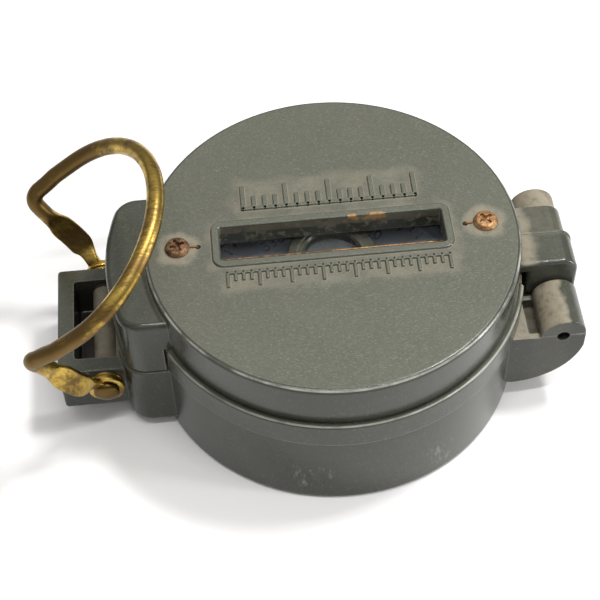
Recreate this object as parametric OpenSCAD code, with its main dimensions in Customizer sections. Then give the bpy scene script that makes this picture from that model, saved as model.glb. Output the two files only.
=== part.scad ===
// Folding lensatic sighting compass: a round case with a hinged sighting lid, a folding
// eyepiece, a turning bezel, a damped dial capsule and a brass thumb ring.
// Origin: centre of the round case on the surface it rests on. +X runs to the lid hinge,
// -X to the eyepiece and thumb ring, +Z is up.

/* [Case] */
// Radius of the round case wall
case_r = 27.1; // [26.8:0.1:27.3]
// Thickness of the case wall
case_wall = 2.0; // [1.8:0.1:2.1]
// Thickness of the case floor
floor_t = 1.8; // [1.2:0.1:2.2]
// Height of the case rim
rim_top = 19.0; // [18.8:0.1:19.2]
// Height where the thicker band under the rim starts
band_low = 14.7; // [13.5:0.1:15.5]

/* [Lid] */
// Radius of the lid disc
lid_r = 26.5; // [26.3:0.1:26.7]
// Height of the lid's top face above the resting surface
lid_top = 26.2; // [26.0:0.1:26.8]
// Length of the sight slot
slot_len = 31.5; // [28:0.5:32]
// Width of the sight slot
slot_w = 5.9; // [4.5:0.1:6.2]
// Distance of each wire screw from the centre
screw_x = 21.7; // [21.4:0.1:21.9]

/* [Tab] */
// Outer radius of the tab on the eyepiece side, on lid and case alike
tab_r = 32.1; // [31.9:0.1:32.4]
// Half of the tab's width
tab_half = 11.8; // [11.5:0.1:12]
// Height of the seam between the lid's hood and the case's tab
seam_z = 13.6; // [13.4:0.1:13.8]

/* [Lid hinge] */
// Distance of the lid hinge axis from the centre
hinge_x = 31.6; // [31.5:0.1:32]
// Height of the lid hinge axis
hinge_z = 14.6; // [14.4:0.1:14.8]
// Radius of the hinge knuckles
knuckle_r = 3.3; // [3.1:0.1:3.4]

/* [Eyepiece and ring] */
// Distance of the pivot axis from the centre, on the eyepiece side
pivot_x = 33.8; // [33.7:0.1:34]
// Height of the pivot axis
pivot_z = 9.3; // [9.1:0.1:9.5]
// Radius of the eyepiece lens
lens_r = 4.9; // [4.2:0.1:5.1]
// Diameter of the thumb ring's wire
ring_wire = 2.4; // [2:0.1:2.6]
// Half of the distance between the ring's two bends
ring_half = 14.6; // [14.2:0.1:15]

/* [Hidden] */
$fn = 96;

olive = "#6f7466";
olive_dark = "#4f5349";
brass = "#b08a3a";
copper = "#9a5b3c";
steel = "#a9adb2";
tiny = 0.01;            // overlap that makes two solids of one piece join
through = 20;           // half length of a cut that goes right through the object
air = 0.35;             // gap between pieces that move past each other
run = 0.05;             // radial clearance of a shaft that turns in its hole

// case
bore_r = case_r - case_wall;
band_r = case_r + 0.35;
bead_t = 0.65;
band_gap = [-5.7, 8.2]; // the band stops here on either side of the hinge leaf
ledge_z = rim_top - 0.4;
tab_low = 1.3;
tab_wall = 1.5;
tab_corner = 3.5;
case_tab_r = tab_r + 0.3;
trough_half = 7.2;
trough_z = 7.0;
frame_out = 40.5;
frame_low = 3.5;
frame_top = 12.0;
frame_half = 9.5;
frame_wall = 2.4;
frame_floor = 1.2;

// lid hinge
pin_r = 0.9;
near_lug = [-12.6, -4.8];
far_lug = [7.3, 12.6];
pin_inset = 2.0;        // how far the pin's ends sit inside the lugs
leaf_y = [-4.5, 7.0];
leaf_split = 1.3;
leaf_top = 21.3;
leaf_step = 0.8;
leaf_round = 2.4;
web_r = 10;
web_inner = 4;          // how far the lugs run in under the case wall
pocket_rim = 0.9;       // rim left round the lugs' pockets
pocket_depth = 2;
pad_x = 30.4;           // outer face of the thick wall between the two lugs
web_drop = 0.6;         // the lugs' curve starts this far under the hinge axis

// lid
lid_wall = 1.6;
lid_plate = 2.2;
lid_low = rim_top - 0.05;
lid_round = 0.7;
hood_top = 24.4;
hood_plate = 1.5;
slot_depth = 3.2;
slot_ridge = 0.3;
slot_ridge_w = 1.1;
wire_r = 0.15;
wire_x = 18.8;
wire_z = lid_top - slot_depth - wire_r - 0.05;
screw_r = 0.9;
screw_head_r = 1.75;
screw_head_h = 0.8;
screw_len = 3.0;
boss_r = 2.6;
mark_h = 0.3;           // height of the raised scale marks on the lid

// capsule, dial and bezel, from the floor up
pad_z = floor_t;
cup_z = pad_z + 0.8;
cup_r = 22.6;
cup_wall = 1.0;
cup_shelf = 0.6;        // step inside the cup that the gasket lies on
cup_floor = cup_z + cup_wall;
gasket_z = 11.9;
glass_z = gasket_z + 0.5;
glass_t = 1.0;
cup_top = glass_z + glass_t;
glass_r = 22.1;
clamp_t = 1.0;
clamp_top = cup_top + clamp_t;
post_y = -21.9;         // post of the click spring, on the clamp ring
post_r = 0.45;
spring_z = clamp_top + 0.05;
spring_h = 0.8;
needle_r = 0.4;
needle_top = 9.4;
dial_z = 8.9;
dial_t = 0.4;
dial_r = 20.6;
hub_r = 2.2;
jewel_r = 1.2;
hub_drop = 0.9;         // how far the hub and jewel reach below the dial card
bezel_z = clamp_top + air;
bezel_r = bore_r - 0.3;
bezel_top = 20.0;
grip_z = 17.9;
grip_r = 24.3;
grip_flutes = 40;
snap_z = 16.2;
snap_t = 0.7;
snap_reach = 0.3;       // how far the snap ring enters the case wall and the bezel
click_teeth = 120;
crystal_z = 17.0;
crystal_t = 1.2;
crystal_r = 22.4;

// eyepiece
arm_t = 1.6;
arm_z = bezel_top + air + 0.05;
arm_x = 27.5;
rail_y = 4.6;
rail_w = 1.8;
barrel_r = 1.75;
barrel_half = 6.7;
root_low = 1.0;         // the arm's root reaches this far below and above the pivot axis
root_high = 0.8;
head_r = 6.4;
head_z = crystal_z + crystal_t + 0.6;
lens_z = head_z + 0.6;
lens_rim = 0.8;
lens_cap = 0.6;
lens_ring_w = 0.7;

// thumb ring and its pin
axle_r = 1.2;
washer_t = 0.4;
washer_y = frame_half + 0.05;
eye_t = 1.0;
eye_y = washer_y + washer_t + 0.1;
eye_r = 2.65;
head_y = eye_y + eye_t + 0.1;
rivet_r = 1.85;
ring_r = ring_wire / 2;
kink = [-42.8, 22.9];       // x and z of the ring's two bends
loop_tilt = 39;             // rise of the loop's plane above level, going back over the lid
flare_end = 3.2;            // how far from the bends the loop reaches its full width
loop_side = 9.0;            // how far its sides run straight
loop_r = ring_half + 1.2;   // radius of its round end, a little wider than the bends
blade_t = 1.0;
blade_twist = 25;
blade_foot = 1.6;           // the blade starts this far from the pivot axis
blade_side = [[0.9, 0], [0.9, 1.8], [1.75, 4.2], [1.75, 8.2], [1.0, 11.6]];   // half width, distance

// ---- shapes used more than once ----

module pillar(r, z0, z1) {
    translate([0, 0, z0]) cylinder(r = r, h = z1 - z0);
}

module tube(r_out, r_in, z0, z1) {
    difference() {
        pillar(r_out, z0, z1);
        pillar(r_in, z0 - 1, z1 + 1);
    }
}

// Cylinder along Y between two y values, at a given x and z
module rod_y(x, z, r, y0, y1) {
    translate([x, y0, z]) rotate([-90, 0, 0]) cylinder(r = r, h = y1 - y0);
}

// Box from its low corner to its high corner
module block(low, high) {
    translate(low) cube(high - low);
}

// Points along an arc, from one angle to another
function arc(x, y, r, from, to, steps) =
    [for (i = [0 : steps]) let (a = from + (to - from) * i / steps) [x + r * cos(a), y + r * sin(a)]];

// Outline of the tab: its outer edge follows the case's curve, and its two corners are rounded
module tab_outline(r_out, half, corner) {
    centre_r = r_out - corner;
    centre_y = half - corner;
    centre_x = -sqrt(centre_r * centre_r - centre_y * centre_y);
    swing = asin(centre_y / centre_r);
    polygon(concat(
        [[-20, -half], [-20, half]],
        arc(centre_x, centre_y, corner, 90, 180 - swing, 8),
        arc(0, 0, r_out, 180 - swing + 2, 180 + swing - 2, 12),
        arc(centre_x, -centre_y, corner, 180 + swing, 270, 8)));
}

module tab_prism(r_out, half, corner, z0, z1) {
    translate([0, 0, z0]) linear_extrude(z1 - z0) tab_outline(r_out, half, corner);
}

// Rod between two points, with a slightly fuller ball at its far end, as where a wire is bent
module rod(a, b, r) {
    v = b - a;
    translate(a)
        rotate([0, acos(v.z / norm(v)), atan2(v.y, v.x)])
        cylinder(r = r, h = norm(v));
    translate(b) sphere(r = r * 1.03);
}

// ---- case ----

// One hinge lug from y0 to y1: a knuckle on a curved bracket, with a shallow pocket between
// the case and the knuckle
module hinge_lug(y0, y1) {
    rod_y(hinge_x, hinge_z, knuckle_r, y0, y1);
    difference() {
        intersection() {
            rod_y(bore_r, hinge_z - web_drop, web_r, y0, y1);
            block([bore_r - web_inner, y0, 0], [hinge_x + knuckle_r, y1, hinge_z]);
        }
        block([case_r - 0.3, y0 + pocket_rim, hinge_z - pocket_depth],
            [hinge_x, y1 - pocket_rim, hinge_z + 1]);
    }
}

module case_body() {
    pillar(case_r, 0, ledge_z);
    tube(band_r, bore_r, band_low, ledge_z);
    tube(band_r, band_r - bead_t, ledge_z - tiny, rim_top);
    tab_prism(case_tab_r, tab_half + 0.2, tab_corner, tab_low, seam_z);
    block([-frame_out, -frame_half, frame_low], [-bore_r, frame_half, frame_top]);
    block([bore_r, near_lug[1] - tiny, hinge_z - web_r + web_drop],
        [pad_x, far_lug[0] + tiny, hinge_z - knuckle_r - air]);
    for (lug = [near_lug, far_lug]) hinge_lug(lug[0], lug[1]);
}

module case_hollows() {
    pocket_x = frame_out - frame_wall;
    pocket_half = frame_half - frame_wall;
    // capsule well and the groove of the bezel's snap ring
    pillar(bore_r, floor_t, rim_top + 1);
    pillar(bore_r + snap_reach, snap_z, snap_z + snap_t);
    // no band under the hood or behind the lid's hinge leaf
    difference() {
        union() {
            block([-tab_r, -tab_half - 0.6, band_low - 0.1], [0, tab_half + 0.6, rim_top + 1]);
            block([0, band_gap[0], band_low - 0.1], [tab_r, band_gap[1], rim_top + 1]);
        }
        pillar(case_r, 0, ledge_z);
        for (lug = [near_lug, far_lug]) rod_y(hinge_x, hinge_z, knuckle_r, lug[0], lug[1]);
    }
    // trough that lets the eyepiece arm fold down, and the frame's pocket
    difference() {
        block([-tab_r - 1, -trough_half, trough_z], [0, trough_half, seam_z + 1]);
        pillar(case_r, 0, rim_top);
    }
    difference() {
        block([-pocket_x, -pocket_half, frame_low + frame_floor], [-tab_r + 0.6, pocket_half, frame_top + 1]);
        tab_prism(case_tab_r, tab_half, tab_corner, 0, trough_z);
    }
    // hollow underside of the tab
    difference() {
        tab_prism(case_tab_r - tab_wall, tab_half - tab_wall, tab_corner - tab_wall, 0, trough_z - 1.5);
        pillar(case_r, 0, rim_top);
    }
    rod_y(hinge_x, hinge_z, pin_r, -through, through);
    rod_y(-pivot_x, pivot_z, axle_r, -through, through);
}

module base_case() {
    color(olive) difference() {
        case_body();
        case_hollows();
    }
}

module hinge_pin() {
    color(steel) rod_y(hinge_x, hinge_z, pin_r, near_lug[0] + pin_inset, far_lug[1] - pin_inset);
}

module pivot_pin() {
    dome_h = rivet_r * 0.5;
    dome_r = rivet_r * 1.25;
    color(copper) {
        rod_y(-pivot_x, pivot_z, axle_r, -head_y - tiny, head_y + tiny);
        for (side = [-1, 1])
            translate([-pivot_x, side * head_y, pivot_z])
                rotate([-90 * side, 0, 0])
                rotate_extrude() intersection() {
                    translate([0, dome_h - dome_r]) circle(r = dome_r);
                    square([rivet_r, rivet_r]);
                }
    }
}

module ring_washers() {
    color(brass) for (side = [-1, 1])
        difference() {
            rod_y(-pivot_x, pivot_z, eye_r - 0.2, side * washer_y + min(side, 0) * washer_t,
                side * washer_y + max(side, 0) * washer_t);
            rod_y(-pivot_x, pivot_z, axle_r + run, -through, through);
        }
}

// ---- capsule ----

module capsule_pad() {
    pad_r = [21, 14];
    color("#2b2b2b") tube(pad_r[0], pad_r[1], pad_z, cup_z);
}

module capsule_cup() {
    color(steel) difference() {
        pillar(cup_r, cup_z, cup_top);
        pillar(cup_r - cup_wall - cup_shelf, cup_floor, cup_top + 1);
        pillar(glass_r, gasket_z, cup_top + 1);
    }
}

module capsule_gasket() {
    color("#1f1f1f") tube(glass_r, cup_r - cup_wall - cup_shelf + 0.2, gasket_z, glass_z);
}

module capsule_glass() {
    color([0.8, 0.88, 0.95, 0.4]) pillar(glass_r, glass_z, cup_top);
}

module index_line() {
    ends = [13.5, 20.4];
    half = 0.35;
    color("black") block([ends[0], -half, cup_top], [ends[1], half, cup_top + 0.12]);
}

module pivot_post() {
    foot_r = 2.0;
    point_h = 0.5;
    color(brass) {
        pillar(foot_r, cup_floor, cup_floor + 0.9);
        pillar(needle_r, cup_floor, needle_top - point_h);
        translate([0, 0, needle_top - point_h]) cylinder(r1 = needle_r, r2 = 0.08, h = point_h);
    }
}

module clamp_ring() {
    color(steel) {
        tube(bore_r, 21.4, cup_top, clamp_top);
        // post that carries the click spring
        translate([0, post_y, clamp_top - tiny]) cylinder(r = post_r, h = spring_h + 0.1);
    }
}

module bezel_snap_ring() {
    gap_half = 3;
    color(steel) difference() {
        tube(bore_r + snap_reach, bezel_r - 0.2, snap_z, snap_z + snap_t);
        block([-gap_half, 0, snap_z - 1], [gap_half, 30, snap_z + snap_t + 1]);
    }
}

// Leaf spring that clicks along the teeth inside the bezel: an arc with a round nose
module click_spring() {
    half_t = 0.15;
    half_angle = 22;
    fan_r = 40;
    color(brass) difference() {
        union() {
            intersection() {
                tube(-post_y + half_t, -post_y - half_t, spring_z, spring_z + spring_h);
                linear_extrude(30)
                    polygon([[0, 0], fan_r * [sin(half_angle), -cos(half_angle)],
                        fan_r * [-sin(half_angle), -cos(half_angle)]]);
            }
            for (side = [-1, 1])
                translate([-side * post_y * sin(half_angle), post_y * cos(half_angle), spring_z])
                    cylinder(r = 0.35, h = spring_h);
            translate([0, post_y, spring_z]) cylinder(r = 0.75, h = spring_h);
        }
        translate([0, post_y, spring_z - 1]) cylinder(r = post_r, h = spring_h + 2);
    }
}

// ---- dial ----

module dial_card() {
    color("white") tube(dial_r, hub_r, dial_z, dial_z + dial_t);
}

module north_arrow() {
    stem = 1.2;
    head = 2.8;
    y = [5, 12.5, 17.5];
    color("#b9d8a0") translate([0, 0, dial_z + dial_t]) linear_extrude(0.15)
        polygon([[-stem, y[0]], [stem, y[0]], [stem, y[1]], [head, y[1]], [0, y[2]],
            [-head, y[1]], [-stem, y[1]]]);
}

module dial_magnets() {
    magnet = [2.2, 22, 1.4];
    magnet_x = 4;
    color("#707377") for (side = [-1, 1])
        translate([side * magnet_x, 0, dial_z - magnet.z / 2])
            cube(magnet, center = true);
}

module dial_hub() {
    color(brass) tube(hub_r, jewel_r, dial_z - hub_drop, dial_z + dial_t + 0.4);
}

module dial_jewel() {
    color("#a01830") difference() {
        pillar(jewel_r, dial_z - hub_drop, dial_z + dial_t + 0.9);
        pillar(needle_r + 2 * run, dial_z - 2, needle_top + run);
    }
}

// ---- bezel ----

// Ring outline with pointed teeth along its inner edge
module toothed_ring(r_out, r_root, r_tip, teeth) {
    difference() {
        circle(r = r_out);
        polygon([for (i = [0 : 2 * teeth - 1])
            let (r = i % 2 == 0 ? r_root : r_tip, a = i * 180 / teeth) r * [cos(a), sin(a)]]);
    }
}

module bezel_ring() {
    teeth_h = 1.0;
    teeth_r = [23.1, 22.8];
    flute_r = 0.7;
    color(olive_dark) difference() {
        union() {
            translate([0, 0, bezel_z]) linear_extrude(teeth_h + tiny)
                toothed_ring(bezel_r, teeth_r[0], teeth_r[1], click_teeth);
            tube(bezel_r, crystal_r - 1.2, bezel_z + teeth_h, crystal_z);
            tube(bezel_r, crystal_r, crystal_z - tiny, grip_z);
            tube(grip_r, crystal_r, grip_z - tiny, bezel_top);
        }
        tube(bezel_r + 1, bezel_r - snap_reach, snap_z - 0.1, snap_z + snap_t + 0.1);
        for (i = [0 : grip_flutes - 1])
            rotate(i * 360 / grip_flutes)
                translate([grip_r + flute_r / 2, 0, grip_z + 0.5]) cylinder(r = flute_r, h = 5);
    }
}

module bezel_crystal() {
    color([0.8, 0.88, 0.95, 0.35]) pillar(crystal_r, crystal_z, crystal_z + crystal_t);
}

module marching_line() {
    half = 0.5;
    ends = [8.5, 20.5];
    color("#b9d8a0") block([-half, ends[0], crystal_z - 0.15], [half, ends[1], crystal_z]);
}

// ---- lid ----

// The lid disc with its wall; the top edge is rounded
module lid_shell() {
    rotate_extrude() {
        difference() {
            union() {
                translate([0, lid_low]) square([lid_r, lid_top - lid_round - lid_low]);
                translate([0, lid_top - lid_round - tiny]) square([lid_r - lid_round, lid_round + tiny]);
                translate([lid_r - lid_round, lid_top - lid_round]) circle(r = lid_round);
            }
            translate([-1, lid_low - 1])
                square([lid_r - lid_wall + 1, lid_top - lid_plate - lid_low + 1]);
        }
    }
}

module hood() {
    difference() {
        tab_prism(tab_r, tab_half, tab_corner, seam_z + 0.3, hood_top);
        tab_prism(tab_r - tab_wall, tab_half - tab_wall, tab_corner - tab_wall, 0, hood_top - hood_plate);
        pillar(case_r + air, 0, lid_low);
        pillar(lid_r - lid_wall / 2, 0, 30);
    }
}

// Leaf that carries the lid on the hinge pin, in two widths as on the casting
module hinge_leaf() {
    for (part = [[leaf_y[0], leaf_split, leaf_top], [leaf_split - tiny, leaf_y[1], leaf_top - leaf_step]]) {
        right = hinge_x + knuckle_r - (leaf_top - part[2]) / 2;
        rod_y(hinge_x, hinge_z, right - hinge_x, part[0], part[1]);
        block([case_r + air, part[0], hinge_z], [right, part[1], part[2] - leaf_round]);
        block([lid_r - 0.9, part[0], rim_top + air], [right - leaf_round, part[1], part[2]]);
        rod_y(right - leaf_round, part[2] - leaf_round, leaf_round, part[0], part[1]);
    }
}

// Rounded frame outline centred on the origin
module slot_outline(len, width, corner) {
    square([len - 2 * corner, width], center = true);
    square([len, width - 2 * corner], center = true);
    for (sx = [-1, 1], sy = [-1, 1])
        translate([sx * (len / 2 - corner), sy * (width / 2 - corner)]) circle(r = corner);
}

// Raised scale marks above and below the slot
module lid_scale(x, y, half, count, tall, short, base_w, bar_w, up) {
    translate([0, 0, lid_top - tiny]) linear_extrude(mark_h + tiny) {
        translate([x, y + up * base_w / 2]) square([2 * half + bar_w, base_w], center = true);
        for (i = [0 : count]) {
            h = i % 4 == 0 ? tall : short;
            translate([x - half + i * 2 * half / count, y + up * h / 2]) square([bar_w, h], center = true);
        }
    }
}

module lid_cover() {
    mid_z = lid_top - lid_plate;
    color(olive) difference() {
        union() {
            lid_shell();
            hood();
            hinge_leaf();
            // thicker plate around the slot, bosses under the screws, low ridge on top
            block([-slot_len / 2 - 1, -slot_w / 2 - 2, lid_top - slot_depth],
                [slot_len / 2 + 1, slot_w / 2 + 2, mid_z + tiny]);
            for (side = [-1, 1]) translate([side * screw_x, 0, 0]) pillar(boss_r, mid_z - 1, mid_z + tiny);
            translate([0, 0, lid_top - tiny]) linear_extrude(slot_ridge + tiny)
                slot_outline(slot_len + 2 * slot_ridge_w, slot_w + 2 * slot_ridge_w, 1.6);
            lid_scale(0.3, 5.8, 12.3, 16, 4.6, 2.6, 0.65, 0.65, 1);
            lid_scale(0.4, -5.0, 15.4, 28, 2.8, 1.7, 0.5, 0.5, -1);
        }
        // sight slot
        block([-slot_len / 2, -slot_w / 2, 0], [slot_len / 2, slot_w / 2, 40]);
        // way for the eyepiece arm through the lid's wall into the hood
        block([-tab_r + tab_wall + 0.1, -trough_half, 0],
            [-lid_r + lid_wall + 3, trough_half, hood_top - hood_plate]);
        for (side = [-1, 1]) {
            translate([side * screw_x, 0, 0]) pillar(screw_r, mid_z - 2, lid_top + 1);
            translate([side * wire_x, 0, 0]) pillar(wire_r + 0.25, mid_z - 2, lid_top + 1);
        }
        rod_y(hinge_x, hinge_z, pin_r + run, -through, through);
    }
}

module sight_wire() {
    top_z = lid_top + wire_r + 0.02;
    inner_x = wire_x + 0.1;
    color(copper) {
        rod([-inner_x, 0, wire_z], [inner_x, 0, wire_z], wire_r);
        translate([-inner_x, 0, wire_z]) sphere(r = wire_r);
        for (side = [-1, 1]) {
            rod([side * inner_x, 0, wire_z], [side * inner_x, 0, top_z], wire_r);
            rod([side * inner_x, 0, top_z], [side * (screw_x - screw_head_r - 0.2), 0, top_z], wire_r);
        }
    }
}

module sight_screws() {
    edge = 0.4;
    recess = [2.2, 0.5, 1.1];
    color(copper) for (side = [-1, 1])
        translate([side * screw_x, 0, lid_top]) difference() {
            union() {
                rotate_extrude() {
                    square([screw_head_r - edge, screw_head_h]);
                    square([screw_head_r, screw_head_h - edge]);
                    translate([screw_head_r - edge, screw_head_h - edge]) circle(r = edge);
                }
                translate([0, 0, -screw_len]) cylinder(r = screw_r, h = screw_len + tiny);
            }
            for (turn = [0, 90]) rotate(turn + 20)
                translate([0, 0, screw_head_h]) cube(recess, center = true);
        }
}

// ---- eyepiece ----

module eyepiece_arm() {
    reach = rail_y + rail_w;
    color(olive_dark) difference() {
        union() {
            rod_y(-pivot_x, pivot_z, barrel_r, -barrel_half, barrel_half);
            block([-pivot_x, -reach, pivot_z - root_low], [-arm_x, reach, pivot_z + root_high]);
            block([-arm_x - arm_t, -reach, pivot_z - root_low], [-arm_x, reach, arm_z + arm_t]);
            for (side = [-1, 1])
                block([-arm_x - arm_t, side * (rail_y + rail_w / 2) - rail_w / 2, arm_z],
                    [0, side * (rail_y + rail_w / 2) + rail_w / 2, arm_z + arm_t]);
            pillar(head_r, head_z, arm_z + arm_t);
        }
        pillar(lens_r, head_z - 1, arm_z + arm_t + 1);
        rod_y(-pivot_x, pivot_z, axle_r + run, -through, through);
    }
}

// Half section of the biconvex lens: two shallow caps on a thin rim
module lens_section() {
    cap_r = (lens_r * lens_r + lens_cap * lens_cap) / (2 * lens_cap);
    intersection() {
        translate([0, lens_z - lens_cap]) square([lens_r, lens_rim + 2 * lens_cap]);
        translate([0, lens_z + lens_rim + lens_cap - cap_r]) circle(r = cap_r, $fn = 256);
        translate([0, lens_z - lens_cap + cap_r]) circle(r = cap_r, $fn = 256);
    }
}

module eyepiece_lens() {
    color([0.85, 0.92, 0.98, 0.4]) rotate_extrude() lens_section();
}

// Ring that holds the lens down, hollowed to the lens's curve
module lens_ring() {
    low = lens_z + lens_rim;
    color("#2f312c") rotate_extrude() difference() {
        translate([lens_r - lens_ring_w, low]) square([lens_ring_w, arm_z + arm_t - low]);
        lens_section();
    }
}

// ---- thumb ring ----

// The leg on the +Y side: eyelet on the pin, flattened blade, bend
module ring_leg() {
    eye_mid = eye_y + eye_t / 2;
    foot = [-pivot_x, eye_mid, pivot_z];
    bend = [kink.x, ring_half, kink.y];
    v = bend - foot;
    other_side = [for (i = [len(blade_side) - 1 : -1 : 0]) [-blade_side[i].x, blade_side[i].y]];
    rod_y(-pivot_x, pivot_z, eye_r, eye_y, eye_y + eye_t);
    translate(foot)
        rotate([0, acos(v.z / norm(v)), atan2(v.y, v.x)])
        rotate(blade_twist)
        translate([0, 0, blade_foot])
        rotate([90, 0, 0])
        linear_extrude(blade_t, center = true)
        polygon(concat(blade_side, other_side));
    rod(foot + v * 0.74, bend, ring_r);
}

// The loop, drawn flat with its bends on the Y axis, then tilted into place
module ring_loop() {
    translate([kink.x, 0, kink.y]) rotate([0, -loop_tilt, 0]) {
        for (side = [-1, 1]) {
            rod([0, side * ring_half, 0], [flare_end, side * loop_r, 0], ring_r);
            rod([flare_end, side * loop_r, 0], [loop_side, side * loop_r, 0], ring_r);
        }
        translate([loop_side, 0, 0]) rotate(-90)
            rotate_extrude(angle = 180) translate([loop_r, 0]) circle(r = ring_r);
    }
}

module thumb_ring() {
    color(brass) difference() {
        union() {
            ring_leg();
            mirror([0, 1, 0]) ring_leg();
            ring_loop();
        }
        rod_y(-pivot_x, pivot_z, axle_r + run, -through, through);
        // flats for the rivet's heads
        rod_y(-pivot_x, pivot_z, rivet_r + air, eye_y + eye_t, through);
        rod_y(-pivot_x, pivot_z, rivet_r + air, -through, -eye_y - eye_t);
    }
}

base_case();
hinge_pin();
pivot_pin();
ring_washers();
capsule_pad();
capsule_cup();
capsule_gasket();
capsule_glass();
index_line();
pivot_post();
clamp_ring();
bezel_snap_ring();
click_spring();
dial_card();
north_arrow();
dial_magnets();
dial_hub();
dial_jewel();
bezel_ring();
bezel_crystal();
marching_line();
lid_cover();
sight_wire();
sight_screws();
eyepiece_arm();
eyepiece_lens();
lens_ring();
thumb_ring();
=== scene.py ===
"""Looks for the sighting compass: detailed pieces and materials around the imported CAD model."""
from math import asin, copysign, cos, degrees, pi, radians, sin, sqrt

import bmesh
import bpy
from mathutils import Matrix, Vector


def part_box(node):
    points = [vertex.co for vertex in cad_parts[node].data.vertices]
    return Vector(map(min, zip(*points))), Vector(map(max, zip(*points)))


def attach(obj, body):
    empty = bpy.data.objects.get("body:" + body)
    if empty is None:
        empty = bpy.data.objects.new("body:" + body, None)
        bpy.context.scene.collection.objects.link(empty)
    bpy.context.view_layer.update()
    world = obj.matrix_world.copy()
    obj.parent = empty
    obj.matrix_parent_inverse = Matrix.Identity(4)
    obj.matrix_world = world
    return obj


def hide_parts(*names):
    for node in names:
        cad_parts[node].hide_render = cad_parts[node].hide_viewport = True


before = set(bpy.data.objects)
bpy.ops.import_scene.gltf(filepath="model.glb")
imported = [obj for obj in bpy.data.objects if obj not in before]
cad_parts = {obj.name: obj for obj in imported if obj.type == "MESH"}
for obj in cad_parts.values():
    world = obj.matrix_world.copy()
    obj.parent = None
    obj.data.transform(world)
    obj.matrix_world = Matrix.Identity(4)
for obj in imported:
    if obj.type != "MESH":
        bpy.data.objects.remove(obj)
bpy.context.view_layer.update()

# ---- Sizes in millimetres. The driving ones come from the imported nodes' boxes. ----

MM = 0.001
TINY = 1e-6


def box_mm(node):
    """Lowest and highest corner of a CAD node, in millimetres."""
    low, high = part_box(node)
    return low / MM, high / MM


lid_lo, lid_hi = box_mm("lid_cover")
case_lo, case_hi = box_mm("base_case")
wire_lo = box_mm("sight_wire")[0]
screws_hi = box_mm("sight_screws")[1]
arm_hi = box_mm("eyepiece_arm")[1]
lens_lo, lens_hi = box_mm("eyepiece_lens")
bezel_lo, bezel_hi = box_mm("bezel_ring")
crystal_lo, crystal_hi = box_mm("bezel_crystal")
rivet_lo, rivet_hi = box_mm("pivot_pin")
washers_hi = box_mm("ring_washers")[1]
pin_lo, pin_hi = box_mm("hinge_pin")
card_hi = box_mm("dial_card")[1]

# lid
SLOT_RIDGE = 0.3
LID_R = lid_hi.y
LID_TOP = lid_hi.z - SLOT_RIDGE
LID_PLATE = 2.2
LID_WALL = 1.6
LID_ROUND = 0.75
SCREW_R = 1.75
SCREW_H = 0.8
SCREW_X = screws_hi.x - SCREW_R
SLOT_LEN = 31.5
SLOT_W = 5.9
SLOT_DEPTH = 3.2
SLOT_FRAME_W = 1.2
WIRE_X = 18.8
# relief scales: middle x and y, half length, spaces, heights of tall and short marks,
# widths of the base line and the marks, and which way the marks point
SCALES = ((0.3, 5.8, 12.3, 16, 4.6, 2.6, 0.65, 0.65, 1), (0.4, -5.0, 15.4, 28, 2.8, 1.7, 0.5, 0.5, -1))
WIRE_R = 0.15
WIRE_Z = wire_lo.z + WIRE_R

# case
CASE_R = 27.1
BAND_R = CASE_R + 0.35
CASE_WALL = 2.0
BORE_R = CASE_R - CASE_WALL
FLOOR_T = 1.8
RIM_TOP = case_hi.z
LEDGE_Z = RIM_TOP - 0.4
BAND_LOW = 14.7
LID_LOW = RIM_TOP - 0.05
FRAME_OUT = -case_lo.x
FRAME_LOW = 3.5
FRAME_TOP = 12.0
FRAME_HALF = 9.5
FRAME_WALL = 2.4

# tab and hood
TAB_R = -lid_lo.x
TAB_HALF = 11.8
TAB_CORNER = 3.5
TAB_LOW = 1.3
TAB_WALL = 1.5
SEAM_Z = 13.6
HOOD_TOP = 24.4
HOOD_PLATE = 1.5
TROUGH_HALF = 7.2
TROUGH_Z = 7.0

# hinge and pivot
PIN_R = 0.9
HINGE_X = (pin_lo.x + pin_hi.x) / 2
HINGE_Z = (pin_lo.z + pin_hi.z) / 2
KNUCKLE_R = 3.3
NEAR_LUG = (-12.6, -4.8)
FAR_LUG = (7.3, 12.6)
LEAF_Y = (-4.5, 7.0)
LEAF_SPLIT = 1.3
LEAF_TOP = 21.3
LEAF_STEP = 0.8
LEAF_ROUND = 2.4
LEAF_RIDGE = 0.1
PIVOT_X = (rivet_lo.x + rivet_hi.x) / 2
PIVOT_Z = (rivet_lo.z + rivet_hi.z) / 2
AXLE_R = 1.2
LENS_R = (lens_hi.x - lens_lo.x) / 2

# cutters reach past everything: up to this height, and this far to both sides
THROUGH = 40
BORE_HALF = 20

# the band is open at the hinge, between these two places along Y
BAND_GAP = (-5.7, 8.2)

# thumb ring
WIRE_DIA = 2.4
RING_HALF = 14.6
LOOP_R = RING_HALF + 1.2
KINK = Vector((-42.8, 0, 22.9))
LOOP_TILT = radians(39)
LOOP_SIDE = 9.0
LEG_BOW = 1.1
EYE_Y = washers_hi.y + 0.6
EYE_R = 2.65
EYE_T = 1.0

# ---- Mesh helpers. Shapes are lists of points in millimetres until a piece is made. ----


def arc(cx, cy, r, start, end, steps):
    """Points of an arc, angles in degrees."""
    angles = [radians(start + (end - start) * i / steps) for i in range(steps + 1)]
    return [(cx + r * cos(a), cy + r * sin(a)) for a in angles]


def circle(cx, cy, r, steps=64):
    return arc(cx, cy, r, 0, 360, steps)[:-1]


def rounded_rect(length, width, corner, steps=6, centre=(0, 0)):
    cx, cy = centre
    x = length / 2 - corner
    y = width / 2 - corner
    outline = []
    for sx, sy, start in ((1, 1, 0), (-1, 1, 90), (-1, -1, 180), (1, -1, 270)):
        outline += arc(cx + sx * x, cy + sy * y, corner, start, start + 90, steps)
    return outline


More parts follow.
